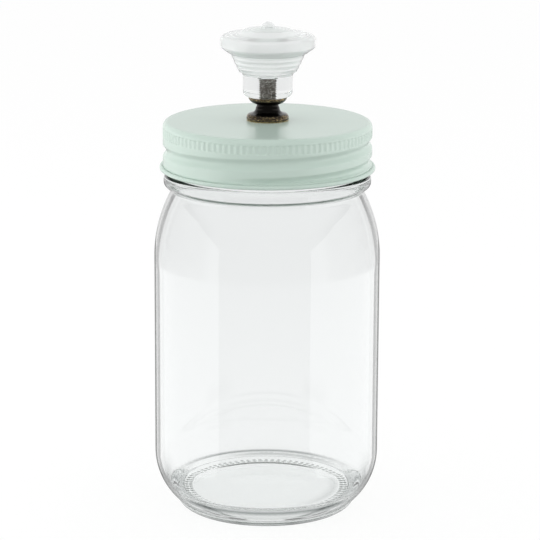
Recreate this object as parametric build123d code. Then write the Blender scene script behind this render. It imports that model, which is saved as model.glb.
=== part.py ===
from build123d import *
from math import sqrt
import os

# Glass jar: all lengths in this file are in millimetres, heights run up from the base
jar_height = 136.3
finish_radius = 33.5
shoulder_width = 5.7
shoulder_rise = 22.8
body_wall = 1.8

# Heel and base of the jar
heel_height = 20.0
heel_width = 8.2
plate_top = 3.2
plate_corner = 2.6
plate_margin = 3.7
bearing_width = 1.4
push_up_step_width = 1.5
push_up_step = 1.1
push_up_height = 1.5
base_thickness = 7.2
floor_low_height = 8.3
inner_heel_round = 8.2

# Neck and rim of the jar
rim_width = 3.1
mouth_straight_depth = 20.5
inner_shoulder_share = 0.8
rim_round_share = 0.42
bead_width = 2.35
bead_drop = 18.4
bead_half_height = 3.3
neck_groove_height = 2.0
neck_groove_depth = 0.25

# Screw thread of the glass and of the lid, one start and right-handed
thread_pitch = 6.35
thread_round = 1.8
thread_top_drop = 3.3
thread_turns = 1.2
thread_end_angle = 20
thread_play = 0.15
lid_thread_round = 2.5
lid_thread_depth = 0.85
lid_thread_turns = 1.77
lid_thread_end_angle = 160
ball_end_share = 0.98
bar_sides = 16

# Pressed sheet lid
sheet = 0.35
lid_clearance = 2.25
lid_corner = 1.9
lid_crown = 0.3
lid_flat_width = 5.2
lid_pad_radius = 9.0
curl_tube_radius = 0.75
curl_lift = 0.05
curl_sides = 12
knurl_count = 108
knurl_round = 0.8
knurl_depth = 0.15
knurl_height = 2.7
knurl_drop = 2.0

# Sealing ring between the glass rim and the lid
seal_thickness = 0.55
seal_gap = 0.1
seal_margin = 0.7

# Metal ferrule under the knob
ferrule_height = 8.1
ferrule_radius = 7.25
ferrule_waist_radius = 3.75
ferrule_cup_radius = 6.6
ferrule_lip_share = 0.05
ferrule_bell_shares = (0.95, 0.17)
ferrule_ledge_shares = (0.86, 0.28)
ferrule_cove_shares = (0.76, 0.31)
ferrule_foot_shares = (0.57, 0.53)
ferrule_waist_share = 0.69
ferrule_flare_share = 0.84
ferrule_cup_lip_share = 0.95

# Pressed glass knob
hub_radius = 8.8
hub_height = 6.6
hub_corner = 2.2
step_width = 1.6
step_rise = 2.0
collar_width = 2.6
collar_rise = 5.6
brim_width = 3.3
brim_rise = 3.4
brim_under_shares = (0.72, 0.48)
brim_band = 2.0
brim_round = 1.6
crown_dip = 0.3
disc_radius = 9.3
disc_flare = 0.6
disc_rise = 2.0
disc_crown = 0.5
nub_radius = 2.5
nub_band = 0.6
nub_crown = 1.9
knob_hole_clearance = 0.3
knob_hole_spare = 2.3

# Threaded stud and its fastenings
stud_radius = 2.0
stud_chamfer = 0.3
stud_engagement = 6.7
stud_tail = 2.0
stud_clearance = 0.2
flat_washer_radius = 4.5
flat_washer_thickness = 0.8
lock_washer_radius = 3.6
lock_washer_thickness = 1.0
lock_washer_slit = 0.6
nut_across_flats = 7.0
nut_height = 3.2
nut_chamfer_share = 0.12

# Heights and radii that follow from the sizes above
body_radius = finish_radius + shoulder_width
inner_radius = body_radius - body_wall
mouth_radius = finish_radius - rim_width
bead_radius = finish_radius + bead_width
bead_height = jar_height - bead_drop
bead_low = bead_height - bead_half_height
bead_top = bead_height + bead_half_height
neck_low = bead_low - neck_groove_height
shoulder_height = neck_low - shoulder_rise
mouth_low = jar_height - mouth_straight_depth
rim_round = rim_round_share * (finish_radius - mouth_radius)
plate_radius = body_radius - heel_width
bearing_outer_radius = plate_radius - plate_margin
bearing_inner_radius = bearing_outer_radius - bearing_width
floor_height = push_up_height + base_thickness

seal_low = jar_height + seal_gap
seal_top = seal_low + seal_thickness
lid_edge_top = seal_top + sheet
lid_top = lid_edge_top + lid_crown
lid_inner_radius = finish_radius + lid_clearance
lid_radius = lid_inner_radius + sheet
lid_edge_radius = lid_radius - lid_corner
lid_flat_radius = lid_edge_radius - lid_flat_width
curl_height = bead_top + curl_lift
bore_radius = stud_radius + stud_clearance

ridge_round = lid_thread_round + sheet
groove_line_radius = lid_radius + lid_thread_round - lid_thread_depth
thread_reach = groove_line_radius - finish_radius
thread_offset = sqrt((thread_round + ridge_round + thread_play) ** 2 - thread_reach ** 2)

ferrule_top = lid_top + ferrule_height
washer_low = lid_top - sheet - flat_washer_thickness
lock_washer_low = washer_low - lock_washer_thickness
nut_low = lock_washer_low - nut_height
stud_low = nut_low - stud_tail
stud_top = ferrule_top + stud_engagement
foot_radius = hub_radius - hub_corner
step_radius = hub_radius + step_width
step_height = hub_height + step_rise
collar_radius = step_radius + collar_width
collar_height = step_height + collar_rise
knob_radius = collar_radius + brim_width
brim_low_height = collar_height + brim_rise
brim_high_height = brim_low_height + brim_band
crown_ring_radius = knob_radius - brim_round
crown_ring_height = brim_high_height + brim_round
disc_foot_radius = disc_radius + disc_flare
disc_foot_height = crown_ring_height - crown_dip
disc_height = disc_foot_height + disc_rise
nub_base_height = disc_height + disc_crown
nub_side_height = nub_base_height + nub_band
knob_height = nub_side_height + nub_crown
knob_hole_radius = stud_radius + knob_hole_clearance
knob_hole_depth = stud_engagement + knob_hole_spare


def turned(outline):
    """A solid of revolution about Z from the lines of a half outline in the XZ plane."""
    return revolve(make_face(Plane.XZ * outline), Axis.Z)


def wound_bar(line_radius, bar_radius, turns, top_height, top_angle):
    """A many-sided bar wound down a right-handed helix from its top end, with ball ends."""
    rise = thread_pitch * turns
    helix = Helix(thread_pitch, rise, line_radius)
    section = Plane(origin=helix @ 0, x_dir=(1, 0, 0), z_dir=helix % 0)
    bar = sweep(section * RegularPolygon(bar_radius, bar_sides), path=helix, is_frenet=True)
    for end in (helix @ 0, helix @ 1):
        bar += Pos(*end) * Sphere(bar_radius * ball_end_share)
    return Pos(Z=top_height - rise) * Rot(Z=top_angle - 360 * turns) * bar


def thread_height(angle):
    """Height of the glass thread's centre line at an angle about Z, counted from +X."""
    turns_below_top = (thread_end_angle - angle) / 360
    return jar_height - thread_top_drop - thread_pitch * turns_below_top


def jar_outside():
    """The solid inside the jar's outer skin, from the push-up to the rim."""
    neck_mid = (bead_low + neck_low) / 2
    outline = Curve() + [
        TangentArc(
            (0, push_up_height),
            (bearing_inner_radius - push_up_step_width, push_up_step),
            tangent=(1, 0),
        ),
        Polyline(
            (bearing_inner_radius - push_up_step_width, push_up_step),
            (bearing_inner_radius, 0),
            (bearing_outer_radius, 0),
        ),
        TangentArc((bearing_outer_radius, 0), (plate_radius, plate_corner), tangent=(1, 0)),
        Line((plate_radius, plate_corner), (plate_radius, plate_top)),
        TangentArc((body_radius, heel_height), (plate_radius, plate_top), tangent=(0, -1)),
        Line((body_radius, heel_height), (body_radius, shoulder_height)),
        TangentArc((body_radius, shoulder_height), (finish_radius, neck_low), tangent=(0, 1)),
        ThreePointArc(
            (finish_radius, neck_low),
            (finish_radius - neck_groove_depth, neck_mid),
            (finish_radius, bead_low),
        ),
        ThreePointArc(
            (finish_radius, bead_low),
            (bead_radius, bead_height),
            (finish_radius, bead_top),
        ),
        Line((finish_radius, bead_top), (finish_radius, jar_height - rim_round)),
        TangentArc(
            (finish_radius, jar_height - rim_round),
            (finish_radius - rim_round, jar_height),
            tangent=(0, 1),
        ),
        Polyline((finish_radius - rim_round, jar_height), (0, jar_height), (0, push_up_height)),
    ]
    return turned(outline)


def jar_hollow():
    """The space inside the jar, from its floor to its mouth."""
    heel_start = inner_radius - inner_heel_round
    turn_radius = inner_radius - inner_shoulder_share * (inner_radius - mouth_radius)
    turn_height = shoulder_height + inner_shoulder_share * (mouth_low - shoulder_height)
    outline = Curve() + [
        TangentArc((0, floor_height), (heel_start, floor_low_height), tangent=(1, 0)),
        TangentArc(
            (heel_start, floor_low_height),
            (inner_radius, floor_low_height + inner_heel_round),
            tangent=(1, 0),
        ),
        Line((inner_radius, floor_low_height + inner_heel_round), (inner_radius, shoulder_height)),
        TangentArc((inner_radius, shoulder_height), (turn_radius, turn_height), tangent=(0, 1)),
        TangentArc((mouth_radius, mouth_low), (turn_radius, turn_height), tangent=(0, -1)),
        Line((mouth_radius, mouth_low), (mouth_radius, jar_height - rim_round)),
        TangentArc(
            (mouth_radius, jar_height - rim_round),
            (mouth_radius + rim_round, jar_height),
            tangent=(0, 1),
        ),
        Polyline((mouth_radius + rim_round, jar_height), (0, jar_height), (0, floor_height)),
    ]
    return turned(outline)


def make_jar_body():
    """The blown glass jar with its screw thread."""
    thread = wound_bar(
        finish_radius, thread_round, thread_turns, jar_height - thread_top_drop, thread_end_angle
    )
    return jar_outside() + thread - jar_hollow()


def lid_form(skin):
    """The solid form under the lid's face, a depth of skin inside it, down to the curl."""
    radius = lid_radius - skin
    outline = Curve() + [
        Polyline(
            (0, curl_height),
            (0, lid_top - skin),
            (lid_pad_radius, lid_top - skin),
            (lid_flat_radius, lid_edge_top - skin),
            (lid_edge_radius, lid_edge_top - skin),
        ),
        TangentArc(
            (lid_edge_radius, lid_edge_top - skin),
            (radius, lid_edge_top - lid_corner),
            tangent=(1, 0),
        ),
        Polyline((radius, lid_edge_top - lid_corner), (radius, curl_height), (0, curl_height)),
    ]
    return turned(outline)


def make_lid_shell():
    """The pressed lid: crowned panel, knurled edge, rolled thread and curled hem."""
    top_angle = lid_thread_end_angle
    top = thread_height(top_angle) - thread_offset
    groove = wound_bar(groove_line_radius, lid_thread_round, lid_thread_turns, top, top_angle)
    ridge = wound_bar(groove_line_radius, ridge_round, lid_thread_turns, top, top_angle)
    shell = (lid_form(0 * sheet) - groove) - (lid_form(sheet) - ridge)
    shell -= Pos(Z=lid_top) * Cylinder(bore_radius, 4 * sheet)
    low_end = (Align.CENTER, Align.CENTER, Align.MIN)
    flute = Pos(Z=lid_edge_top - knurl_drop - knurl_height) * Cylinder(
        knurl_round, knurl_height, align=low_end
    )
    flute_line = lid_radius + knurl_round - knurl_depth
    shell -= [spot * flute for spot in PolarLocations(flute_line, knurl_count)]
    curl_line = Pos(lid_inner_radius + curl_tube_radius, curl_height)
    curl = Plane.XZ * curl_line * RegularPolygon(curl_tube_radius, curl_sides)
    return shell + revolve(curl, Axis.Z)


def make_seal_ring():
    """The ring of sealing compound that the glass rim presses on."""
    ring = Circle(lid_edge_radius) - Circle(mouth_radius - seal_margin)
    return Pos(Z=seal_low) * extrude(ring, seal_thickness)


def make_knob_ferrule():
    """The turned metal spool between the lid and the glass knob."""
    def at(radius_share, height_share):
        return (radius_share * ferrule_radius, lid_top + height_share * ferrule_height)

    bell = at(*ferrule_bell_shares)
    ledge = at(*ferrule_ledge_shares)
    cove = at(*ferrule_cove_shares)
    foot = at(*ferrule_foot_shares)
    waist = (ferrule_waist_radius, lid_top + ferrule_waist_share * ferrule_height)
    flare = (
        (ferrule_waist_radius + ferrule_cup_radius) / 2,
        lid_top + ferrule_flare_share * ferrule_height,
    )
    cup_lip = (ferrule_cup_radius, lid_top + ferrule_cup_lip_share * ferrule_height)
    outline = Curve() + [
        Polyline((bore_radius, ferrule_top), (bore_radius, lid_top), (ferrule_radius, lid_top)),
        Line((ferrule_radius, lid_top), at(1, ferrule_lip_share)),
        ThreePointArc(at(1, ferrule_lip_share), bell, ledge),
        Line(ledge, cove),
        TangentArc(foot, cove, tangent=(1, 0)),
        Line(foot, waist),
        ThreePointArc(waist, flare, cup_lip),
        Polyline(cup_lip, (ferrule_cup_radius, ferrule_top), (bore_radius, ferrule_top)),
    ]
    return turned(outline)


def make_knob_glass():
    """The pressed glass knob with stepped sides and a blind hole for the stud."""
    brim_under = (
        collar_radius + brim_under_shares[0] * (knob_radius - collar_radius),
        collar_height + brim_under_shares[1] * (brim_low_height - collar_height),
    )
    outline = Curve() + [
        Line((0, 0), (foot_radius, 0)),
        TangentArc((hub_radius, hub_corner), (foot_radius, 0), tangent=(0, -1)),
        Line((hub_radius, hub_corner), (hub_radius, hub_height)),
        TangentArc((hub_radius, hub_height), (step_radius, step_height), tangent=(0, 1)),
        Line((step_radius, step_height), (collar_radius, collar_height)),
        ThreePointArc((collar_radius, collar_height), brim_under, (knob_radius, brim_low_height)),
        Line((knob_radius, brim_low_height), (knob_radius, brim_high_height)),
        TangentArc(
            (knob_radius, brim_high_height), (crown_ring_radius, crown_ring_height), tangent=(0, 1)
        ),
        Polyline(
            (crown_ring_radius, crown_ring_height),
            (disc_foot_radius, disc_foot_height),
            (disc_radius, disc_height),
            (nub_radius, nub_base_height),
            (nub_radius, nub_side_height),
        ),
        TangentArc((0, knob_height), (nub_radius, nub_side_height), tangent=(1, 0)),
        Line((0, knob_height), (0, 0)),
    ]
    hole = Cylinder(
        knob_hole_radius, knob_hole_depth, align=(Align.CENTER, Align.CENTER, Align.MIN)
    )
    return Pos(Z=ferrule_top) * (turned(outline) - hole)


def make_knob_stud():
    """The plain rod of the stud, from under the nut to inside the knob."""
    rod = extrude(Circle(stud_radius), stud_top - stud_low)
    ends = rod.edges().filter_by(GeomType.CIRCLE)
    return Pos(Z=stud_low) * chamfer(ends, stud_chamfer)


def make_flat_washer():
    """The flat washer under the lid's panel."""
    ring = Circle(flat_washer_radius) - Circle(bore_radius)
    return Pos(Z=washer_low) * extrude(ring, flat_washer_thickness)


def make_lock_washer():
    """The split spring washer between the flat washer and the nut."""
    slit = Pos(X=lock_washer_radius) * Rectangle(2 * lock_washer_radius, lock_washer_slit)
    ring = Circle(lock_washer_radius) - Circle(bore_radius) - slit
    return Pos(Z=lock_washer_low) * extrude(ring, lock_washer_thickness)


def make_hex_nut():
    """The hexagon nut, with its corners chamfered at both ends."""
    corner_radius = nut_across_flats / sqrt(3)
    prism = extrude(RegularPolygon(corner_radius, 6), nut_height)
    blank = extrude(Circle(corner_radius), nut_height)
    blank = chamfer(blank.edges().filter_by(GeomType.CIRCLE), nut_chamfer_share * nut_across_flats)
    bore = extrude(Circle(stud_radius), nut_height)
    return Pos(Z=nut_low) * ((prism & blank) - bore)


parts = {
    "jar_body": make_jar_body,
    "seal_ring": make_seal_ring,
    "lid_shell": make_lid_shell,
    "knob_ferrule": make_knob_ferrule,
    "knob_glass": make_knob_glass,
    "knob_stud": make_knob_stud,
    "flat_washer": make_flat_washer,
    "lock_washer": make_lock_washer,
    "hex_nut": make_hex_nut,
}

os.makedirs("parts", exist_ok=True)
for name, make in parts.items():
    export_step(make(), f"parts/{name}.step")
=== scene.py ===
import math

import bpy
import numpy as np
from mathutils import Matrix


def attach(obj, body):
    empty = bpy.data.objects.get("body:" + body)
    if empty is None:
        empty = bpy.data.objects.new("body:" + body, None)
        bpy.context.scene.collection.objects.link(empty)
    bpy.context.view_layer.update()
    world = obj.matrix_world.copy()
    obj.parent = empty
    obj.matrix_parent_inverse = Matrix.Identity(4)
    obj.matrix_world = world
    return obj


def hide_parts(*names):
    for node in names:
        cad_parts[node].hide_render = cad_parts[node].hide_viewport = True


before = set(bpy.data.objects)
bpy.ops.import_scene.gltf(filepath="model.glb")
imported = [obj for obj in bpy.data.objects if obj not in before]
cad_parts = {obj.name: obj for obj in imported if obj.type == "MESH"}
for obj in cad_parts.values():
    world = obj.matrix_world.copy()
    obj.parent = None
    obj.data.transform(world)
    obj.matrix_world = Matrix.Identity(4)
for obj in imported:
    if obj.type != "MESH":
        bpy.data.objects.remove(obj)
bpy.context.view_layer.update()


# Jar: blown soda-lime glass from a two-part mould, so its skin is fire polished and clear.
# It stands on a narrow ring with two rows of notches, round a shallow push-up.
# The neck carries a round bead and a single-start screw thread for the lid.
MM = 0.001
JAR_SEGMENTS = 624
JAR_HEIGHT = 136.3
BODY_RADIUS = 39.18
BODY_WALL = 1.8
HEEL_HEIGHT = 20.0
PLATE_RADIUS = 31.0
PLATE_TOP = 2.7
PLATE_CORNER = 2.1
BEARING_OUTER_RADIUS = 27.3
BEARING_INNER_RADIUS = 25.9
PUSH_UP_RADIUS = 24.4
PUSH_UP_STEP = 0.3
PUSH_UP_HEIGHT = 0.8
FLOOR_HEIGHT = 8.7
FLOOR_LOW_HEIGHT = 8.3
FLOOR_RADIUS = 31.6
FLOOR_MARGIN = 0.1
INNER_CORNER_RADIUS = 34.0
INNER_HEEL_RADIUS = 34.7
INNER_HEEL_HEIGHT = 9.6
SHOULDER_HEIGHT = 89.8
NECK_LOW = 112.6
NECK_GROOVE_DEPTH = 0.25
BEAD_LOW = 114.6
BEAD_TOP = 119.3
BEAD_WIDTH = 2.35
BEAD_LOW_FULLNESS = 3.4
BEAD_TOP_FULLNESS = 2.5
FINISH_RADIUS = 33.5
MOUTH_RADIUS = 30.4
MOUTH_LOW = 115.8
RIM_ROUND = 1.3
INNER_SHOULDER_RADIUS = 31.8
INNER_SHOULDER_HEIGHT = 110.6
INNER_SHOULDER_LOW = 86.5
THREAD_PITCH = 6.35
THREAD_ROUND = 1.8
THREAD_TOP_DROP = 3.3
THREAD_TURNS = 1.2
THREAD_END_ANGLE = 20.0
THREAD_FADE_ANGLE = 14.0
NOTCH_COUNT = 78
NOTCH_DEPTH = 0.3
NOTCH_ROWS = ((26.2, 27.4), (27.7, 28.9))
NOTCH_FRONT_SHARE = 0.1
NOTCH_FRONT_SINE = -0.75
NOTCH_FRONT_FADE = 0.6
# Painted shade in the notches: a dark grey tint, and glass only this clear, in place of the
# shadowed floor seen through them.
NOTCH_CLARITY = 0.3
NOTCH_PAINTED_SHADE = "#5C6160"
GLASS_IOR = 1.52
# Painted shade: the facing range over which the jar's outer skin turns grey when seen edge-on, in
# place of dark surroundings reflected at its edges.
PAINTED_EDGE_FACING = (0.80, 0.92)
# Painted shade lines, grey tint in place of dark surroundings seen through the glass: the skin
# they lie in, radius and reach in mm, bearing and spread in degrees, strength.
PAINTED_SHADE_LINES = (
    ("inner", 33.0, 1.0, 95, 85, 1.0),
    ("inner", 30.0, 3.4, 74, 60, 0.8),
    ("outer", 35.0, 0.9, -90, 95, 1.0),
    ("outer", 29.7, 1.6, -90, 95, 1.0),
    ("outer", 37.2, 2.0, -172, 32, 0.75),
    ("outer", 37.2, 2.0, -8, 32, 0.75),
    ("under", 24.5, 0.5, -15, 60, 0.5),
    ("bead", 35.8, 2.6, -90, 400, 0.16),
)
PAINTED_SHADE_FADE = 0.7
SOFT_EDGE = 0.35


def arc(start, end, tangent, steps):
    """Points of the arc that leaves start along tangent and ends at end, both ends included."""
    start, end, tangent = (np.array(v, float) for v in (start, end, tangent))
    normal = np.array([-tangent[1], tangent[0]])
    chord = end - start
    along, across = chord @ tangent, chord @ normal
    radius = chord @ chord / (2 * across)
    sweep = 2 * math.atan2(across, along)
    angles = np.linspace(0, sweep, steps + 1)[:, None]
    return [*(start + radius * (np.sin(angles) * tangent + (1 - np.cos(angles)) * normal))]


def bulge(start, end, height, steps):
    """Points of the arc from start to end that stands out by height to the right of its chord."""
    start, end = np.array(start, float), np.array(end, float)
    chord = end - start
    half = math.hypot(*chord) / 2
    lean = 2 * math.atan2(height, half)
    along = chord / (2 * half)
    right = np.array([along[1], -along[0]])
    return arc(start, end, math.cos(lean) * along + math.sin(lean) * right, steps)


def swept(start, corner, end, steps):
    """Points of the curve from start to end that leaves and arrives in line with corner."""
    start, corner, end = (np.array(v, float) for v in (start, corner, end))
    shares = np.linspace(0, 1, steps + 1)
    return [(1 - t) ** 2 * start + 2 * t * (1 - t) * corner + t ** 2 * end for t in shares]


def line(start, end, steps):
    """Evenly spaced points from start to end, both included."""
    return [*np.linspace(np.array(start, float), np.array(end, float), steps + 1)]


def softened(outline, radius, steps=4, least_turn=0.3):
    """The outline with each sharp corner rounded, as moulding, pressing or turning leaves it."""
    points = [np.array(p, float) for p in outline]
    points = [p for p, q in zip(points, [None, *points]) if q is None or math.dist(p, q) > 1e-6]
    result = [points[0]]
    for before, corner, after in zip(points, points[1:], points[2:]):
        back, ahead = before - corner, after - corner
        back_length, ahead_length = math.hypot(*back), math.hypot(*ahead)
        cosine = back @ ahead / (back_length * ahead_length)
        turn = math.pi - math.acos(max(-1.0, min(1.0, cosine)))
        if turn < least_turn:
            result.append(corner)
            continue
        # A rounding takes less than half of each side, so that two never meet.
        reach = min(radius * math.tan(turn / 2), back_length / 2.2, ahead_length / 2.2)
        first = corner + back * (reach / back_length)
        last = corner + ahead * (reach / ahead_length)
        result.extend(swept(first, corner, last, steps))
    result.append(points[-1])
    return result


def lathe(name, outline, segments, closed=False, form=None):
    """A mesh turned about Z from an outline of (radius, height) in millimetres.

    The outline runs with the outside on its right. form may shift the radii and heights by angle.
    """
    outline = np.array(outline)
    count = len(outline)
    angles = np.linspace(0, 2 * math.pi, segments, endpoint=False)
    radii = np.repeat(outline[:, :1], segments, axis=1)
    heights = np.repeat(outline[:, 1:], segments, axis=1)
    if form:
        radii, heights = form(radii, heights, angles[None, :])
    places = np.stack([radii * np.cos(angles), radii * np.sin(angles), heights], axis=2)
    vertices, rows = [], []
    for row in range(count):
        start = len(vertices)
        if outline[row, 0] < 1e-6:
            vertices.append(places[row, 0])
            rows.append([start] * segments)
        else:
            vertices.extend(places[row])
            rows.append(list(range(start, start + segments)))
    faces = []
    pairs = list(zip(rows, rows[1:]))
    if closed:
        pairs.append((rows[-1], rows[0]))
    for low, high in pairs:
        for j in range(segments):
            k = (j + 1) % segments
            corners = [low[j], low[k], high[k], high[j]]
            faces.append(list(dict.fromkeys(corners)))
    mesh = bpy.data.meshes.new(name)
    mesh.from_pydata((np.array(vertices) * MM).tolist(), [], faces)
    mesh.shade_smooth()
    piece = bpy.data.objects.new(name, mesh)
    bpy.context.scene.collection.objects.link(piece)
    return piece


def smooth_step(x):
    """0 below 0, 1 above 1, with a smooth rise between."""
    x = np.clip(x, 0, 1)
    return x * x * (3 - 2 * x)


def thread_wave(heights, angles, top_height, top_angle, turns, reach, fade_angle):
    """How far into a thread a place lies: 1 on its centre line, 0 beyond its reach and its ends."""
    wave = np.zeros_like(heights)
    degrees = np.degrees(angles)
    for turn in range(-3, 2):
        behind = top_angle - (degrees + 360 * turn)
        centre = top_height - THREAD_PITCH * behind / 360
        across = np.clip(np.abs(heights - centre) / reach, 0, 1)
        ends = smooth_step(behind / fade_angle) * smooth_step((360 * turns - behind) / fade_angle)
        wave = np.maximum(wave, np.cos(across * math.pi / 2) * ends)
    return wave


def notch_cut(radii, angles):
    """How deep a place lies in the two rows of notches, which are pressed less deep in front."""
    across = (0.5 - 0.5 * np.cos(NOTCH_COUNT * angles)) ** 2
    along = 0
    for inner, outer in NOTCH_ROWS:
        edge = (outer - inner) / 4
        along = along + smooth_step((radii - inner) / edge) * smooth_step((outer - radii) / edge)
    full = smooth_step((np.sin(angles) - NOTCH_FRONT_SINE) / NOTCH_FRONT_FADE)
    return across * along * (NOTCH_FRONT_SHARE + (1 - NOTCH_FRONT_SHARE) * full)


def jar_form(radii, heights, angles):
    """Raises the screw thread on the neck and cuts the notches in the bearing ring."""
    outside = (radii > (FINISH_RADIUS + MOUTH_RADIUS) / 2) & (heights > BEAD_TOP)
    wave = thread_wave(
        heights, angles, JAR_HEIGHT - THREAD_TOP_DROP, THREAD_END_ANGLE,
        THREAD_TURNS, THREAD_ROUND, THREAD_FADE_ANGLE,
    )
    radii = radii + outside * THREAD_ROUND * wave
    under = heights < PLATE_CORNER
    return radii, heights + under * NOTCH_DEPTH * notch_cut(radii, angles)


def jar_outline():
    """The jar's half section: under the base, up the outside, over the rim and down the inside."""
    finish_top = JAR_HEIGHT - RIM_ROUND
    shoulder = arc((BODY_RADIUS, SHOULDER_HEIGHT), (FINISH_RADIUS, NECK_LOW), (0, 1), 22)
    inner_radius = BODY_RADIUS - BODY_WALL
    inner_turn = (INNER_SHOULDER_RADIUS, INNER_SHOULDER_HEIGHT)
    bead = []
    for t in np.sin(np.linspace(-math.pi / 2, math.pi / 2, 27)):
        fullness = BEAD_TOP_FULLNESS if t > 0 else BEAD_LOW_FULLNESS
        reach = BEAD_WIDTH * (1 - abs(t) ** fullness) ** 0.5
        bead.append((FINISH_RADIUS + reach, (BEAD_LOW + BEAD_TOP + t * (BEAD_TOP - BEAD_LOW)) / 2))
    outside = [
        *arc((0, PUSH_UP_HEIGHT), (PUSH_UP_RADIUS, PUSH_UP_STEP), (1, 0), 8),
        *line((BEARING_INNER_RADIUS, 0), (BEARING_OUTER_RADIUS, 0), 8),
        *arc((BEARING_OUTER_RADIUS, 0), (PLATE_RADIUS, PLATE_CORNER), (1, 0), 16),
        (PLATE_RADIUS, PLATE_TOP),
        *arc((BODY_RADIUS, HEEL_HEIGHT), (PLATE_RADIUS, PLATE_TOP), (0, -1), 20)[::-1],
        *line((BODY_RADIUS, HEEL_HEIGHT), (BODY_RADIUS, SHOULDER_HEIGHT), 6),
        *shoulder,
        *bulge((FINISH_RADIUS, NECK_LOW), (FINISH_RADIUS, BEAD_LOW), -NECK_GROOVE_DEPTH, 5),
        *bead,
        *line((FINISH_RADIUS, BEAD_TOP), (FINISH_RADIUS, finish_top), 46),
        *arc((FINISH_RADIUS, finish_top), (FINISH_RADIUS - RIM_ROUND, JAR_HEIGHT), (0, 1), 6),
    ]
    inside = [
        *arc((MOUTH_RADIUS, finish_top), (MOUTH_RADIUS + RIM_ROUND, JAR_HEIGHT), (0, 1), 6)[::-1],
        *line((MOUTH_RADIUS, finish_top), (MOUTH_RADIUS, MOUTH_LOW), 4),
        *arc((MOUTH_RADIUS, MOUTH_LOW), inner_turn, (0, -1), 8),
        *arc((inner_radius, INNER_SHOULDER_LOW), inner_turn, (0, 1), 20)[::-1],
        *line((inner_radius, INNER_SHOULDER_LOW), (inner_radius, HEEL_HEIGHT), 6),
        *arc((inner_radius, HEEL_HEIGHT), (INNER_HEEL_RADIUS, INNER_HEEL_HEIGHT), (0, -1), 24),
        *swept(
            (INNER_HEEL_RADIUS, INNER_HEEL_HEIGHT), (INNER_CORNER_RADIUS, FLOOR_LOW_HEIGHT),
            (FLOOR_RADIUS, FLOOR_LOW_HEIGHT), 16,
        ),
        *arc((0, FLOOR_HEIGHT), (FLOOR_RADIUS, FLOOR_LOW_HEIGHT), (1, 0), 24)[::-1],
    ]
    return softened(outside + inside, SOFT_EDGE)


def linear(hex_colour):
    """An sRGB hex colour as linear red, green, blue and alpha."""
    shades = [int(hex_colour[i:i + 2], 16) / 255 for i in (1, 3, 5)]
    return (*(s / 12.92 if s <= 0.04045 else ((s + 0.055) / 1.055) ** 2.4 for s in shades), 1.0)


def add(tree, kind, inputs=None, **settings):
    """Adds a shader node with its settings, and sets or links its inputs."""
    node = tree.nodes.new("ShaderNode" + kind)
    for name, value in settings.items():
        setattr(node, name, value)
    for socket, value in (inputs or {}).items():
        if isinstance(value, bpy.types.NodeSocket):
            tree.links.new(value, node.inputs[socket])
        else:
            node.inputs[socket].default_value = value
    return node


def new_finish(name):
    """An empty material and its node tree."""
    material = bpy.data.materials.new(name)
    material.use_nodes = True
    material.node_tree.nodes.clear()
    return material, material.node_tree


def stepped(tree, value, first, steps):
    """A level that changes softly at each step of (start, end, level after it)."""
    level = first
    for start, end, after in steps:
        share = add(tree, "MapRange", {0: value, 1: start, 2: end}, interpolation_type="SMOOTHSTEP")
        blend = add(tree, "Mix", {0: share.outputs[0], 2: level, 3: after}, data_type="FLOAT")
        level = blend.outputs[0]
    return level


def clear_glass(name, body, edge, shadow, absorbed, density, haze=0.0, haze_heights=(0.0, 1.0)):
    """Clear glass with painted shade: grey where its outer skin is seen edge-on and along the
    painted shade lines, dark grey and less clear in the notches.

    Above a height it may be hazy. It lets shadow rays and bounced light straight through, so
    that it casts a pale shadow.
    """
    material, tree = new_finish(name)
    skin = add(tree, "Attribute", attribute_name="outer_skin")
    notch = add(tree, "Attribute", attribute_name="notch")
    painted_line = add(tree, "Attribute", attribute_name="painted_line")
    view = add(tree, "LayerWeight", {"Blend": 0.5})
    # Painted shade: the outer skin turns grey where it is seen edge-on, and along the painted shade
    # lines.
    painted_edge = add(tree, "MapRange", {
        0: view.outputs["Facing"], 1: PAINTED_EDGE_FACING[0], 2: PAINTED_EDGE_FACING[1],
    })
    painted_shade = add(tree, "Math", {0: painted_edge.outputs[0], 1: skin.outputs["Fac"]}, operation="MULTIPLY")
    painted_shade = add(tree, "Math", {0: painted_shade.outputs[0], 1: painted_line.outputs["Fac"]}, operation="MAXIMUM")
    tint = add(tree, "Mix", {
        0: painted_shade.outputs[0], 6: linear(body), 7: linear(edge),
    }, data_type="RGBA")
    # Painted shade: the notches turn dark grey, in place of the shadowed floor seen through them.
    tint = add(tree, "Mix", {
        0: notch.outputs["Fac"], 6: tint.outputs[2], 7: linear(NOTCH_PAINTED_SHADE),
    }, data_type="RGBA")
    place = add(tree, "TexCoord")
    axes = add(tree, "SeparateXYZ", {0: place.outputs["Object"]})
    clarity = stepped(tree, axes.outputs["Z"], 1.0, [
        (haze_heights[0] * MM, haze_heights[1] * MM, 1.0 - haze),
    ])
    # Painted shade: the notches are made less clear, so that their dark grey tint shows.
    clarity = add(tree, "Mix", {
        0: notch.outputs["Fac"], 2: clarity, 3: NOTCH_CLARITY,
    }, data_type="FLOAT")
    glass = add(tree, "BsdfPrincipled", {
        "Base Color": tint.outputs[2],
        "Specular Tint": tint.outputs[2],
        "Roughness": 0.0,
        "IOR": GLASS_IOR,
        "Transmission Weight": clarity.outputs[0],
    })
    through = add(tree, "BsdfTransparent", {"Color": linear(shadow)})
    path = add(tree, "LightPath")
    lit = add(tree, "Math", {
        0: path.outputs["Is Shadow Ray"],
        1: path.outputs["Is Diffuse Ray"],
    }, operation="MAXIMUM")
    surface = add(tree, "MixShader", {
        0: lit.outputs[0], 1: glass.outputs[0], 2: through.outputs[0],
    })
    depth = add(tree, "VolumeAbsorption", {"Color": linear(absorbed), "Density": density})
    add(tree, "OutputMaterial", {"Surface": surface.outputs[0], "Volume": depth.outputs[0]})
    return material


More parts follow.
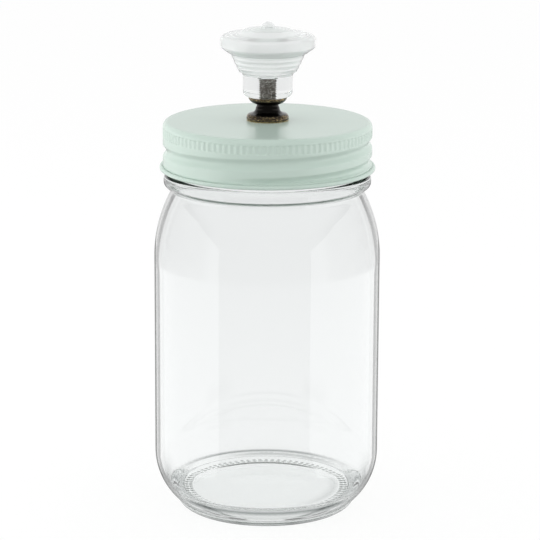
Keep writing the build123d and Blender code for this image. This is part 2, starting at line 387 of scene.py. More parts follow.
def mark_skin(piece):
    """Marks the outer skin, the notches and the painted shade lines on the vertices.

    The painted shade lines are grey tint on the base, heel and bead, in place of dark
    surroundings seen bent through the glass.
    """
    mesh = piece.data
    count = len(mesh.vertices)
    places, normals = np.empty(count * 3), np.empty(count * 3)
    mesh.vertices.foreach_get("co", places)
    mesh.vertex_normals.foreach_get("vector", normals)
    places, normals = places.reshape(-1, 3), normals.reshape(-1, 3)
    radii = np.hypot(places[:, 0], places[:, 1]) / MM
    angles = np.arctan2(places[:, 1], places[:, 0])
    outward = (places[:, :2] * normals[:, :2]).sum(axis=1) > 0
    heights = places[:, 2] / MM
    cut = (heights < PLATE_CORNER) * notch_cut(radii, angles)
    low = heights < HEEL_HEIGHT
    over_floor = heights > FLOOR_LOW_HEIGHT - FLOOR_MARGIN
    inner = low & over_floor & ~(outward & (radii > FLOOR_RADIUS))
    skins = {
        "inner": inner,
        "outer": low & outward & (radii > BEARING_INNER_RADIUS) & ~inner,
        "under": heights < PLATE_TOP,
        "bead": outward & (heights > BEAD_LOW) & (heights < BEAD_TOP),
    }
    # Painted shade lines: grey tint where dark surroundings would show through the base, heel and
    # bead.
    painted_lines = np.zeros(count)
    for skin, radius, reach, bearing, spread, strength in PAINTED_SHADE_LINES:
        turned = np.abs((np.degrees(angles) - bearing + 180) % 360 - 180)
        across = np.clip(1 - ((radii - radius) / reach) ** 2, 0, 1)
        along = smooth_step((spread - turned) / (PAINTED_SHADE_FADE * spread))
        painted_lines = np.maximum(painted_lines, skins[skin] * across * along * strength)
    marks = {"outer_skin": outward, "notch": cut, "painted_line": painted_lines}
    for name, values in marks.items():
        mark = mesh.attributes.new(name, "FLOAT", "POINT")
        mark.data.foreach_set("value", values.astype(float))


jar = lathe("jar_glass", jar_outline(), JAR_SEGMENTS, form=jar_form)
mark_skin(jar)
# The second colour is the painted shade on the jar's outer skin where it is seen edge-on.
jar.data.materials.append(clear_glass(
    "fire_polished_soda_glass", "#FAFBFB", "#686E6D", "#F4F7F5", "#A9B8B2", 3.5,
))
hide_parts("jar_body")
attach(jar, "jar")


# Sealing ring: plastisol compound flowed into the lid's edge and baked, soft and matt.
# The glass rim lies just under it and presses on it when the lid is tight.
SEAL_LOW = 136.4
SEAL_TOP = 136.95
SEAL_INNER_RADIUS = 29.7
SEAL_OUTER_RADIUS = 34.2
SEAL_ROUND = 0.2
SEAL_SEGMENTS = 192
SEAL_WAVE_SIZE = 1.5


def moulded_compound():
    """Baked plastisol: off-white, matt and a little uneven, so highlights are broad and weak."""
    material, tree = new_finish("baked_plastisol_compound")
    place = add(tree, "TexCoord")
    wave = add(tree, "TexNoise", {
        "Vector": place.outputs["Object"], "Scale": 1 / (SEAL_WAVE_SIZE * MM),
    })
    bump = add(tree, "Bump", {"Strength": 0.3, "Distance": 0.05 * MM, "Height": wave.outputs[0]})
    shader = add(tree, "BsdfPrincipled", {
        "Base Color": linear("#DAD9D2"),
        "Roughness": 0.55,
        "IOR": 1.5,
        "Normal": bump.outputs[0],
    })
    add(tree, "OutputMaterial", {"Surface": shader.outputs[0]})
    return material


seal_middle = (SEAL_INNER_RADIUS + SEAL_OUTER_RADIUS) / 2
seal_outline = softened([
    (seal_middle, SEAL_LOW),
    (SEAL_OUTER_RADIUS, SEAL_LOW),
    (SEAL_OUTER_RADIUS, SEAL_TOP),
    (SEAL_INNER_RADIUS, SEAL_TOP),
    (SEAL_INNER_RADIUS, SEAL_LOW),
    (seal_middle - SEAL_ROUND, SEAL_LOW),
], SEAL_ROUND)
seal = lathe("lid_seal", seal_outline, SEAL_SEGMENTS, closed=True)
seal.data.materials.append(moulded_compound())
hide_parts("seal_ring")
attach(seal, "seal")


# Lid: drawn from one disc of tinplate, with a crowned panel, a knurled edge, a rolled thread
# and a curled hem. It is coated inside and out with stoved mint enamel.
SHEET = 0.35
LID_SEGMENTS = 864
LID_RADIUS = 36.1
LID_TOP = 137.6
LID_EDGE_TOP = 137.3
LID_CORNER = 1.9
LID_PAD_RADIUS = 9.0
LID_FLAT_RADIUS = 29.0
LID_BORE_RADIUS = 2.2
SKIRT_MARGIN = 0.6
CURL_HEIGHT = 121.25
CURL_RADIUS = 0.75
CURL_CREASE = 0.14
CURL_END_ANGLE = 475
GROOVE_DEPTH = 1.2
GROOVE_REACH = 2.1
GROOVE_TOP_ANGLE = 160.0
GROOVE_DROP = 2.231
GROOVE_TURNS = 1.77
GROOVE_FADE_ANGLE = 26.0
GROOVE_SHARPNESS = 1.35
KNURL_COUNT = 108
KNURL_DEPTH = 0.24
KNURL_LOW = 132.1
KNURL_HIGH = 135.5
KNURL_FADE = 0.5
KNURL_FULLNESS = 0.8
ENAMEL_DRIFT_SIZE = 25
ENAMEL_PEEL_SIZE = 0.9


def lid_form(radii, heights, angles):
    """Rolls the thread groove and the knurls into both skins of the lid's skirt."""
    skirt = (radii > LID_RADIUS - LID_CORNER + SKIRT_MARGIN) & (heights > CURL_HEIGHT)
    lead = THREAD_PITCH * (GROOVE_TOP_ANGLE - THREAD_END_ANGLE) / 360
    wave = thread_wave(
        heights, angles, JAR_HEIGHT - THREAD_TOP_DROP + lead - GROOVE_DROP, GROOVE_TOP_ANGLE,
        GROOVE_TURNS, GROOVE_REACH, GROOVE_FADE_ANGLE,
    )
    above_curl = smooth_step((heights - CURL_HEIGHT - CURL_RADIUS) / CURL_RADIUS)
    band = smooth_step((heights - KNURL_LOW) / KNURL_FADE)
    band = band * smooth_step((KNURL_HIGH - heights) / KNURL_FADE)
    flute = (0.5 - 0.5 * np.cos(KNURL_COUNT * angles)) ** KNURL_FULLNESS
    depth = GROOVE_DEPTH * wave ** GROOVE_SHARPNESS * above_curl + KNURL_DEPTH * flute * band
    return radii - skirt * depth, heights


def lid_outline():
    """The lid's half section: under the panel, down the inside, round the curl, up and over."""
    inner_radius = LID_RADIUS - SHEET
    edge_radius = LID_RADIUS - LID_CORNER
    corner_height = LID_EDGE_TOP - LID_CORNER
    curl_middle = inner_radius + CURL_RADIUS
    curl_top = CURL_HEIGHT + CURL_RADIUS
    around = np.radians(np.linspace(180, CURL_END_ANGLE, 20))
    curl = [
        (curl_middle + CURL_RADIUS * math.cos(a), CURL_HEIGHT + CURL_RADIUS * math.sin(a))
        for a in around
    ]
    return [
        *line((LID_BORE_RADIUS, LID_TOP - SHEET), (LID_PAD_RADIUS, LID_TOP - SHEET), 2),
        *line((LID_FLAT_RADIUS, LID_EDGE_TOP - SHEET), (edge_radius, LID_EDGE_TOP - SHEET), 2),
        *arc((edge_radius, LID_EDGE_TOP - SHEET), (inner_radius, corner_height), (1, 0), 8)[1:],
        *line((inner_radius, corner_height), (inner_radius, CURL_HEIGHT), 70)[1:],
        *curl[1:],
        (LID_RADIUS - CURL_CREASE, curl_top - CURL_CREASE),
        (LID_RADIUS - CURL_CREASE, curl_top),
        *line((LID_RADIUS, curl_top + CURL_CREASE), (LID_RADIUS, corner_height), 70),
        *arc((edge_radius, LID_EDGE_TOP), (LID_RADIUS, corner_height), (1, 0), 10)[::-1][1:],
        *line((LID_FLAT_RADIUS + 1, LID_EDGE_TOP), (LID_PAD_RADIUS, LID_TOP), 4),
        *line((LID_PAD_RADIUS, LID_TOP), (LID_BORE_RADIUS, LID_TOP), 2)[1:],
    ]


def stoved_enamel():
    """Stoved enamel on tinplate: an even pale mint under a satin skin with faint orange peel."""
    material, tree = new_finish("stoved_mint_enamel")
    place = add(tree, "TexCoord")
    drift = add(tree, "TexNoise", {
        "Vector": place.outputs["Object"], "Scale": 1 / (ENAMEL_DRIFT_SIZE * MM), "Detail": 3.0,
    })
    colour = add(tree, "Mix", {
        0: drift.outputs[0], 6: linear("#BCCEC4"), 7: linear("#C3D3CA"),
    }, data_type="RGBA")
    peel = add(tree, "TexNoise", {
        "Vector": place.outputs["Object"], "Scale": 1 / (ENAMEL_PEEL_SIZE * MM), "Detail": 2.0,
    })
    bump = add(tree, "Bump", {"Strength": 0.12, "Distance": 0.03 * MM, "Height": peel.outputs[0]})
    shader = add(tree, "BsdfPrincipled", {
        "Base Color": colour.outputs[2],
        "Roughness": 0.24,
        "IOR": 1.5,
        "Normal": bump.outputs[0],
    })
    add(tree, "OutputMaterial", {"Surface": shader.outputs[0]})
    return material


lid = lathe("lid_enamelled_shell", lid_outline(), LID_SEGMENTS, closed=True, form=lid_form)
lid.data.materials.append(stoved_enamel())
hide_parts("lid_shell")
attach(lid, "lid")


# Ferrule: a turned brass spool with a dark antique patina, clamped between lid and knob.
# Its raised edges are rubbed back so that the brass shows through.
FERRULE_SEGMENTS = 160
FERRULE_HEIGHT = 8.1
FERRULE_RADIUS = 7.25
FERRULE_LIP = 0.4
FERRULE_BELL = 0.42
FERRULE_LEDGE_RADIUS = 6.235
FERRULE_LEDGE_HEIGHT = 2.3
FERRULE_COVE_RADIUS = 5.51
FERRULE_COVE_HEIGHT = 2.5
FERRULE_FOOT_RADIUS = 4.13
FERRULE_FOOT_HEIGHT = 4.3
FERRULE_WAIST_RADIUS = 3.75
FERRULE_WAIST_HEIGHT = 5.6
FERRULE_WAIST_HOLLOW = 0.1
FERRULE_CUP_RADIUS = 6.6
FERRULE_CUP_LIP_HEIGHT = 7.5
FERRULE_CUP_BELL = 0.45
FERRULE_SEAM_HEIGHTS = (1, 2)
FERRULE_SOFT_EDGE = 0.12
PATINA_GRAIN_SIZE = 0.4
FERRULE_RUBBED_FOOT = 0.8
# How far hands rub the patina: from and to a height over the lid, and the share above it.
FERRULE_RUBBED = (
    (0.2, 0.4, 0.45),
    (FERRULE_LEDGE_HEIGHT - 0.3, FERRULE_COVE_HEIGHT, 0.0),
    (FERRULE_CUP_LIP_HEIGHT - 1.1, FERRULE_CUP_LIP_HEIGHT, 0.5),
)


def ferrule_outline():
    """The spool's half section: from its bore along the bottom, up the outside and back down."""
    def at(radius, height):
        return (radius, LID_TOP + height)

    ledge = at(FERRULE_LEDGE_RADIUS, FERRULE_LEDGE_HEIGHT)
    cove = at(FERRULE_COVE_RADIUS, FERRULE_COVE_HEIGHT)
    foot = at(FERRULE_FOOT_RADIUS, FERRULE_FOOT_HEIGHT)
    waist = at(FERRULE_WAIST_RADIUS, FERRULE_WAIST_HEIGHT)
    cup_lip = at(FERRULE_CUP_RADIUS, FERRULE_CUP_LIP_HEIGHT)
    return softened([
        at(LID_BORE_RADIUS, FERRULE_SEAM_HEIGHTS[0]),
        at(LID_BORE_RADIUS, 0),
        at(FERRULE_RADIUS, 0),
        *bulge(at(FERRULE_RADIUS, FERRULE_LIP), ledge, FERRULE_BELL, 10),
        *arc(foot, cove, (0, -1), 10)[::-1],
        *bulge(foot, waist, -FERRULE_WAIST_HOLLOW, 4),
        *bulge(waist, cup_lip, FERRULE_CUP_BELL, 10),
        at(FERRULE_CUP_RADIUS, FERRULE_HEIGHT),
        at(LID_BORE_RADIUS, FERRULE_HEIGHT),
        at(LID_BORE_RADIUS, FERRULE_SEAM_HEIGHTS[1]),
    ], FERRULE_SOFT_EDGE)


def antique_brass():
    """Brass under a glossy near-black patina, brown and speckled on the flanges that hands rub."""
    material, tree = new_finish("antique_brass_patina")
    place = add(tree, "TexCoord")
    grain = add(tree, "TexNoise", {
        "Vector": place.outputs["Object"], "Scale": 1 / (PATINA_GRAIN_SIZE * MM),
        "Detail": 3.0, "Roughness": 0.7,
    })
    axes = add(tree, "SeparateXYZ", {0: place.outputs["Object"]})
    rubbed = stepped(tree, axes.outputs["Z"], FERRULE_RUBBED_FOOT, [
        ((LID_TOP + low) * MM, (LID_TOP + high) * MM, share) for low, high, share in FERRULE_RUBBED
    ])
    # The more a place is rubbed, the more of its grain shows as bright specks of brass.
    threshold = add(tree, "Math", {0: rubbed, 1: -0.42, 2: 0.74}, operation="MULTIPLY_ADD")
    above = add(tree, "Math", {0: grain.outputs[0], 1: threshold.outputs[0]}, operation="SUBTRACT")
    specks = add(tree, "MapRange", {0: above.outputs[0], 1: 0.0, 2: 0.06})
    ground = add(tree, "Mix", {
        0: rubbed, 6: linear("#1C1A18"), 7: linear("#5E5246"),
    }, data_type="RGBA")
    colour = add(tree, "Mix", {
        0: specks.outputs[0], 6: ground.outputs[2], 7: linear("#C4AE80"),
    }, data_type="RGBA")
    dull = add(tree, "MapRange", {0: rubbed, 3: 0.16, 4: 0.38})
    bump = add(tree, "Bump", {"Strength": 0.25, "Distance": 0.03 * MM, "Height": grain.outputs[0]})
    shader = add(tree, "BsdfPrincipled", {
        "Base Color": colour.outputs[2],
        "Metallic": 0.9,
        "Roughness": dull.outputs[0],
        "Normal": bump.outputs[0],
    })
    add(tree, "OutputMaterial", {"Surface": shader.outputs[0]})
    return material


ferrule = lathe("knob_ferrule_spool", ferrule_outline(), FERRULE_SEGMENTS, closed=True)
ferrule.data.materials.append(antique_brass())
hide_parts("knob_ferrule")
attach(ferrule, "lid")


# Knob: pressed clear glass with stepped sides, a domed crown with a small nub, and a blind hole
# for the stud. The mould leaves soft rings, so straight lines behind it break up. Clear glue
# fills the gap round the stud and is drawn with the glass, as both bend light alike.
KNOB_SEGMENTS = 256
FERRULE_TOP = LID_TOP + FERRULE_HEIGHT
HOLE_RADIUS = 2.3
HOLE_DEPTH = 9.0
HOLE_POINT = 0.5
GLUE_TOP = 6.9
GLUE_DISH = 0.6
GLUED_RADIUS = 1.5
HUB_RADIUS = 8.6
HUB_HEIGHT = 7.3
HUB_CORNER = 2.2
STEP_RADIUS = 9.9
STEP_HEIGHT = 8.8
COLLAR_RADIUS = 12.9
COLLAR_HEIGHT = 15.1
KNOB_RADIUS = 16.3
BRIM_LOW = 17.6
BRIM_HIGH = 19.9
BRIM_ROUND = 1.5
BRIM_HOLLOW = 0.25
DISC_FOOT_RADIUS = 10.6
DISC_FOOT_HEIGHT = 21.8
DISC_RADIUS = 8.2
DISC_HEIGHT = 23.2
NUB_RADIUS = 2.4
NUB_BASE_HEIGHT = 23.8
NUB_SIDE_HEIGHT = 24.4
KNOB_HEIGHT = 25.9
KNOB_SOFT_EDGE = 0.4
RING_PITCH = 1.75
RING_DEPTH = 0.09
RING_CONE_FADE = 1.0
RING_NUB_FADE = 1.5
RING_BRIM_FADE = 2.0
HAZE = 0.5
HAZE_LOW = 0.4
HAZE_HIGH = 2.2


def knob_form(radii, heights, angles):
    """Leaves the mould's soft rings on the knob's cone and crown."""
    cone = smooth_step((heights - FERRULE_TOP - STEP_HEIGHT) / RING_CONE_FADE)
    cone = cone * smooth_step((FERRULE_TOP + BRIM_LOW - heights) / RING_CONE_FADE)
    cone = cone * (radii > COLLAR_RADIUS / 2)
    crown = smooth_step((radii - NUB_RADIUS) / RING_NUB_FADE)
    crown = crown * smooth_step((KNOB_RADIUS - radii) / RING_BRIM_FADE)
    crown = crown * (heights > FERRULE_TOP + BRIM_HIGH)
    cone_wave = np.cos(2 * math.pi * heights / RING_PITCH)
    crown_wave = 1 + np.cos(2 * math.pi * radii / RING_PITCH)
    return radii + RING_DEPTH * cone * cone_wave, heights - RING_DEPTH * crown * crown_wave


def knob_outline():
    """The knob's half section: down the hole, out under the foot, up the steps, over the crown."""
    def at(radius, height):
        return (radius, FERRULE_TOP + height)

    brim_top = at(KNOB_RADIUS - BRIM_ROUND, BRIM_HIGH + BRIM_ROUND)
    outline = [
        at(0, HOLE_DEPTH),
        at(HOLE_RADIUS, HOLE_DEPTH - HOLE_POINT),
        at(HOLE_RADIUS, GLUE_TOP),
        at(GLUED_RADIUS, GLUE_TOP - GLUE_DISH),
        at(GLUED_RADIUS, 0),
        *arc(at(HUB_RADIUS, HUB_CORNER), at(HUB_RADIUS - HUB_CORNER, 0), (0, -1), 8)[::-1],
        *arc(at(HUB_RADIUS, HUB_HEIGHT), at(STEP_RADIUS, STEP_HEIGHT), (0, 1), 8),
        *line(at(STEP_RADIUS, STEP_HEIGHT), at(COLLAR_RADIUS, COLLAR_HEIGHT), 24)[1:-1],
        *bulge(at(COLLAR_RADIUS, COLLAR_HEIGHT), at(KNOB_RADIUS, BRIM_LOW), BRIM_HOLLOW, 10),
        *arc(at(KNOB_RADIUS, BRIM_HIGH), brim_top, (0, 1), 8),
        *line(brim_top, at(DISC_FOOT_RADIUS, DISC_FOOT_HEIGHT), 16)[1:],
        *line(at(DISC_RADIUS, DISC_HEIGHT), at(NUB_RADIUS, NUB_BASE_HEIGHT), 20),
        *arc(at(0, KNOB_HEIGHT), at(NUB_RADIUS, NUB_SIDE_HEIGHT), (1, 0), 12)[::-1],
    ]
    return softened(outline, KNOB_SOFT_EDGE)


knob = lathe("knob_pressed_glass", knob_outline(), KNOB_SEGMENTS, form=knob_form)
mark_skin(knob)
knob.data.materials.append(clear_glass(
    "pressed_crystal_glass", "#F2F3F3", "#F2F3F3", "#F2F5F4", "#CED4D2", 6.0,
    HAZE, (FERRULE_TOP + HOLE_DEPTH + HAZE_LOW, FERRULE_TOP + HOLE_DEPTH + HAZE_HIGH),
))
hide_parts("knob_glass")
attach(knob, "lid")


# Stud: zinc-plated steel with a rolled metric thread, glued into the knob and held under the
# lid by a nut, a split washer and a flat washer, which keep their CAD shapes.
STUD_SEGMENTS = 48
STUD_RADIUS = 2.0
STUD_LOW = 130.25
STUD_TOP = 152.4
STUD_PITCH = 0.7
STUD_THREAD_DEPTH = 0.3
STUD_CHAMFER = 0.4
STUD_STEPS_A_TURN = 8
ZINC_GRAIN_SIZE = 0.9


def zinc_plate(name, colour, roughness):
    """Zinc plating: a grey metal with a fine uneven grain and whitish bloom in patches."""
    material, tree = new_finish(name)
    place = add(tree, "TexCoord")
    grain = add(tree, "TexNoise", {
        "Vector": place.outputs["Object"], "Scale": 1 / (ZINC_GRAIN_SIZE * MM),
        "Detail": 4.0, "Distortion": 1.5,
    })
    patch = add(tree, "MapRange", {0: grain.outputs[0], 1: 0.5, 2: 0.66})
    shade = add(tree, "Mix", {
        0: patch.outputs[0], 6: linear(colour), 7: linear("#C9C7C2"),
    }, data_type="RGBA")
    dull = add(tree, "MapRange", {0: grain.outputs[0], 3: roughness - 0.08, 4: roughness + 0.12})
    shader = add(tree, "BsdfPrincipled", {
        "Base Color": shade.outputs[2],
        "Metallic": 0.8,
        "Roughness": dull.outputs[0],
    })
    add(tree, "OutputMaterial", {"Surface": shader.outputs[0]})
    return material


def stud_form(radii, heights, angles):
    """Cuts the stud's thread, which dies out at the chamfered ends."""
    phase = heights / STUD_PITCH - angles / (2 * math.pi)
    groove = np.abs(((phase % 1) - 0.5) * 2)
    full = radii > STUD_RADIUS - 1e-6
    ends = smooth_step((heights - STUD_LOW - STUD_CHAMFER) / STUD_PITCH)
    ends = ends * smooth_step((STUD_TOP - STUD_CHAMFER - heights) / STUD_PITCH)
    return radii - full * ends * STUD_THREAD_DEPTH * groove, heights


stud_steps = int((STUD_TOP - STUD_LOW) / STUD_PITCH * STUD_STEPS_A_TURN)
stud_thread_low = (STUD_RADIUS, STUD_LOW + STUD_CHAMFER)
stud_thread_top = (STUD_RADIUS, STUD_TOP - STUD_CHAMFER)
stud_outline = [
    (0, STUD_LOW),
    (STUD_RADIUS - STUD_CHAMFER, STUD_LOW),
    *line(stud_thread_low, stud_thread_top, stud_steps),
    (STUD_RADIUS - STUD_CHAMFER, STUD_TOP),
    (0, STUD_TOP),
]
stud = lathe("knob_threaded_stud", stud_outline, STUD_SEGMENTS, form=stud_form)
stud.data.materials.append(zinc_plate("zinc_plated_stud", "#6E6862", 0.45))
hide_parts("knob_stud")
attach(stud, "lid")

for name in ("flat_washer", "lock_washer", "hex_nut"):
    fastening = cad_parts[name]
    fastening.data.materials.clear()
    fastening.data.materials.append(zinc_plate("zinc_plated_" + name, "#C4C5C3", 0.3))


# Stage: a pale floor that keeps a soft shadow, white surroundings behind the jar and a darker
# room in front, and two tall side lights whose gap shows as the darker panel of the jar's front.
FLOOR_HALF = 4.0
FLOOR_KEEP = 0.35
FLOOR_LIFT = 1.3
GAP_LEFT_ANGLE = 48.5
GAP_RIGHT_ANGLE = 44.0
SIDE_DISTANCE = 0.6
SIDE_LOW = -0.23
SIDE_FRONT_TOP = 0.215
SIDE_MIDDLE = -0.1
SIDE_MIDDLE_TOP = 0.31
SIDE_BACK = 0.47
SIDE_BACK_TOP = 0.29
SIDE_MIRRORED = 1.35
LEFT_LIGHT = 3.3
RIGHT_LIGHT = 2.4
FAR_FLOOR = 0.92
FAR_FLOOR_FADE = (0.1, 0.45)
# Light levels by direction, as steps of (from, to, level beyond). Bearings are in degrees from
# straight behind the jar, slopes are the sine of the angle over the horizon.
SKY_LOW = 1.7
SKY_HIGH = 0.82
SKY_SLOPE = (0.0, 0.6)
OVERHEAD = 0.8
OVERHEAD_SLOPE = (0.45, 0.9)
ROOM_FRONT = 0.3
ROOM_FRONT_DEPTH = (0.3, 0.5)
TABLE_MIRRORED = 0.6
TABLE_SLOPE = (-0.42, -0.36)
INSIDE_BEHIND = ((7, 10, 0.15), (15, 18, 0.5), (21, 23, 0.10))
INSIDE_BEHIND_SLOPE = (0.12, 0.18, 1.0)
INSIDE_HEEL_NEAR = 0.6
INSIDE_HEEL = ((44, 50, 0.1), (105, 120, 0.8))
INSIDE_HEEL_SLOPE = (-0.20, -0.15)
INSIDE_HIGH_SLOPE = (0.3, 0.45, 1.0)
INSIDE_BESIDE = (31, 35)
INSIDE_STEEP = 0.25
INSIDE_STEEP_SLOPE = (-0.46, -0.40)
EDGE_MIRRORED = ((2, 5, 0.3), (18, 25, 1.0))
EDGE_MIRRORED_SLOPE = (-0.21, -0.185, 1.0)


def turned_back(tree):
    """1 for light that the eye sees after one reflection inside a single wall of glass, else 0."""
    path = add(tree, "LightPath")
    once = add(tree, "Math", {
        0: path.outputs["Glossy Depth"], 1: 1.0, 2: 0.5,
    }, operation="COMPARE")
    one_wall = add(tree, "Math", {
        0: path.outputs["Transmission Depth"], 1: 2.5,
    }, operation="LESS_THAN")
    both = add(tree, "Math", {0: once.outputs[0], 1: one_wall.outputs[0]}, operation="MULTIPLY")
    return both.outputs[0]


def by_bearing(tree, axes, first, steps):
    """A level that changes at steps of the angle from straight behind the jar, seen from above."""
    across = add(tree, "Math", {0: axes.outputs["X"]}, operation="ABSOLUTE")
    bearing = add(tree, "Math", {0: across.outputs[0], 1: axes.outputs["Y"]}, operation="ARCTAN2")
    turned = [(math.radians(start), math.radians(end), after) for start, end, after in steps]
    return stepped(tree, bearing.outputs[0], first, turned)


def inside_level(tree, direction):
    """How light the room is, by direction, for what glass turns back inside one wall.

    White surroundings are straight behind, overhead and at the side lights. The dark gaps
    between them draw the grey lines along the edges and the heel of the glass.
    """
    axes = add(tree, "SeparateXYZ", {0: direction})
    slope = axes.outputs["Z"]
    heel = by_bearing(tree, axes, INSIDE_HEEL_NEAR, INSIDE_HEEL)
    beside = stepped(tree, slope, 1.0, [(*INSIDE_HEEL_SLOPE, heel), INSIDE_HIGH_SLOPE])
    behind = by_bearing(tree, axes, 1.0, INSIDE_BEHIND)
    behind = stepped(tree, slope, behind, [INSIDE_BEHIND_SLOPE])
    level = by_bearing(tree, axes, behind, [(*INSIDE_BESIDE, beside)])
    return stepped(tree, slope, INSIDE_STEEP, [(*INSIDE_STEEP_SLOPE, level)])


def pale_floor():
    """Matt white paper, lifted towards pure white for the eye and for what glass shows.

    Light that one wall of glass turns back passes through it to the levels of the room.
    """
    material, tree = new_finish("pale_floor_paper")
    paper = add(tree, "BsdfDiffuse", {"Color": linear("#B2B2B2")})
    spot = add(tree, "NewGeometry")
    distance = add(tree, "VectorMath", {0: spot.outputs["Position"]}, operation="LENGTH")
    away = add(tree, "MapRange", {
        0: distance.outputs["Value"], 1: FAR_FLOOR_FADE[0], 2: FAR_FLOOR_FADE[1],
        3: 1.0, 4: FAR_FLOOR,
    })
    path = add(tree, "LightPath")
    level = add(tree, "Mix", {
        0: path.outputs["Is Camera Ray"], 2: away.outputs[0], 3: 1.0,
    }, data_type="FLOAT")
    strength = add(tree, "Math", {0: level.outputs[0], 1: FLOOR_LIFT}, operation="MULTIPLY")
    white = add(tree, "Emission", {"Color": linear("#FFFFFF"), "Strength": strength.outputs[0]})
    passed = add(tree, "BsdfTransparent", {"Color": (FLOOR_LIFT, FLOOR_LIFT, FLOOR_LIFT, 1.0)})
    lifted = add(tree, "MixShader", {
        0: turned_back(tree), 1: white.outputs[0], 2: passed.outputs[0],
    })
    seen = add(tree, "Math", {
        0: path.outputs["Is Camera Ray"], 1: path.outputs["Is Transmission Ray"],
    }, operation="MAXIMUM")
    lift = add(tree, "Math", {0: seen.outputs[0], 1: 1 - FLOOR_KEEP}, operation="MULTIPLY")
    surface = add(tree, "MixShader", {
        0: lift.outputs[0], 1: paper.outputs[0], 2: lifted.outputs[0],
    })
    add(tree, "OutputMaterial", {"Surface": surface.outputs[0]})
    return material


def sheet_mesh(name, corners, material):
    """A flat sheet that belongs to the stage."""
    mesh = bpy.data.meshes.new(name)
    mesh.from_pydata(corners, [], [tuple(range(len(corners)))])
    mesh.materials.append(material)
    sheet = bpy.data.objects.new(name, mesh)
    bpy.context.scene.collection.objects.link(sheet)
    return sheet


def side_light(name, side, gap_angle, light):
    """A tall glowing panel beside the jar, from the edge of the camera's gap to behind the jar."""
    material, tree = new_finish(name + "_cloth")
    path = add(tree, "LightPath")
    strength = add(tree, "Mix", {
        0: path.outputs["Is Glossy Ray"], 2: light, 3: SIDE_MIRRORED,
    }, data_type="FLOAT")
    glow = add(tree, "Emission", {"Strength": strength.outputs[0]})
    add(tree, "OutputMaterial", {"Surface": glow.outputs[0]})
    front = -SIDE_DISTANCE / math.tan(math.radians(gap_angle))
    x = side * SIDE_DISTANCE
    panel = sheet_mesh(name, [
        (x, front, SIDE_LOW), (x, SIDE_BACK, SIDE_LOW), (x, SIDE_BACK, SIDE_BACK_TOP),
        (x, SIDE_MIDDLE, SIDE_MIDDLE_TOP), (x, front, SIDE_FRONT_TOP),
    ], material)
    panel.visible_camera = False
    panel.visible_transmission = False
    return panel


floor = sheet_mesh("floor", [
    (-FLOOR_HALF, -FLOOR_HALF, 0.0), (FLOOR_HALF, -FLOOR_HALF, 0.0),
    (FLOOR_HALF, FLOOR_HALF, 0.0), (-FLOOR_HALF, FLOOR_HALF, 0.0),
], pale_floor())
floor.visible_glossy = False
side_light("left_side_light", -1, GAP_LEFT_ANGLE, LEFT_LIGHT)
side_light("right_side_light", 1, GAP_RIGHT_ANGLE, RIGHT_LIGHT)

world = bpy.data.worlds.new("white_studio")
bpy.context.scene.world = world
world.use_nodes = True
sky = world.node_tree
sky.nodes.clear()
sky_place = add(sky, "TexCoord")
sky_axes = add(sky, "SeparateXYZ", {0: sky_place.outputs["Generated"]})
sky_path = add(sky, "LightPath")
sky_slope = sky_axes.outputs["Z"]
mirrored = add(sky, "MapRange", {
    0: sky_axes.outputs["Y"], 1: ROOM_FRONT_DEPTH[0], 2: ROOM_FRONT_DEPTH[1],
    3: ROOM_FRONT, 4: 1.0,
})
edge = by_bearing(sky, sky_axes, 1.0, EDGE_MIRRORED)
edge = stepped(sky, sky_slope, edge, [EDGE_MIRRORED_SLOPE])
mirrored = add(sky, "Math", {0: mirrored.outputs[0], 1: edge}, operation="MINIMUM")
table = add(sky, "MapRange", {
    0: sky_slope, 1: TABLE_SLOPE[0], 2: TABLE_SLOPE[1], 3: TABLE_MIRRORED, 4: 0.0,
})
mirrored = add(sky, "Math", {0: mirrored.outputs[0], 1: table.outputs[0]}, operation="MAXIMUM")
direct = add(sky, "MapRange", {
    0: sky_slope, 1: OVERHEAD_SLOPE[0], 2: OVERHEAD_SLOPE[1], 3: 1.0, 4: OVERHEAD,
})
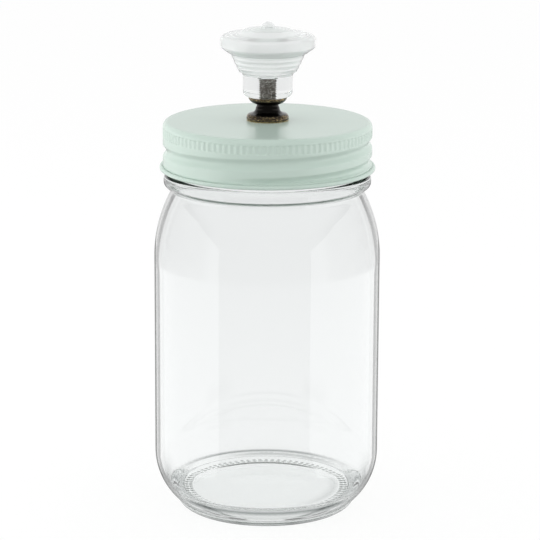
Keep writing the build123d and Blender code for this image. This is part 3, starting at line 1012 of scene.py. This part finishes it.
through = add(sky, "Mix", {
    0: turned_back(sky), 2: direct.outputs[0],
    3: inside_level(sky, sky_place.outputs["Generated"]),
}, data_type="FLOAT")
sky_light = add(sky, "MapRange", {
    0: sky_slope, 1: SKY_SLOPE[0], 2: SKY_SLOPE[1], 3: SKY_LOW, 4: SKY_HIGH,
})
sky_level = add(sky, "Mix", {
    0: sky_path.outputs["Is Glossy Ray"], 2: sky_light.outputs[0], 3: mirrored.outputs[0],
}, data_type="FLOAT")
sky_level = add(sky, "Mix", {
    0: sky_path.outputs["Is Transmission Ray"], 2: sky_level.outputs[0], 3: through.outputs[0],
}, data_type="FLOAT")
sky_level = add(sky, "Mix", {
    0: sky_path.outputs["Is Camera Ray"], 2: sky_level.outputs[0], 3: 1.0,
}, data_type="FLOAT")
sky_glow = add(sky, "Background", {"Color": linear("#FFFFFF"), "Strength": sky_level.outputs[0]})
add(sky, "OutputWorld", {"Surface": sky_glow.outputs[0]})


# Camera: a long lens in front of the jar and a little above the knob, as in the photograph.
# Light gets enough bounces to pass through every wall of glass.
IMAGE_WIDTH = 540
FOCAL_PIXELS = 2735
SENSOR_WIDTH = 36.0
CAMERA_PLACE = (1.05 * MM, -926 * MM, 310.3 * MM)
CAMERA_PITCH = 13.71
CAMERA_ROLL = 0.26
GLASS_BOUNCES = 32

lens = bpy.data.cameras.new("camera")
lens.sensor_width = SENSOR_WIDTH
lens.lens = SENSOR_WIDTH * FOCAL_PIXELS / IMAGE_WIDTH
camera = bpy.data.objects.new("camera", lens)
camera.matrix_world = (
    Matrix.Translation(CAMERA_PLACE)
    @ Matrix.Rotation(math.radians(90 - CAMERA_PITCH), 4, "X")
    @ Matrix.Rotation(math.radians(CAMERA_ROLL), 4, "Z")
)
bpy.context.scene.collection.objects.link(camera)
bpy.context.scene.camera = camera
bpy.context.scene.view_settings.view_transform = "Standard"
cycles = bpy.context.scene.cycles
cycles.max_bounces = GLASS_BOUNCES
cycles.glossy_bounces = GLASS_BOUNCES
cycles.transmission_bounces = GLASS_BOUNCES
cycles.transparent_max_bounces = GLASS_BOUNCES
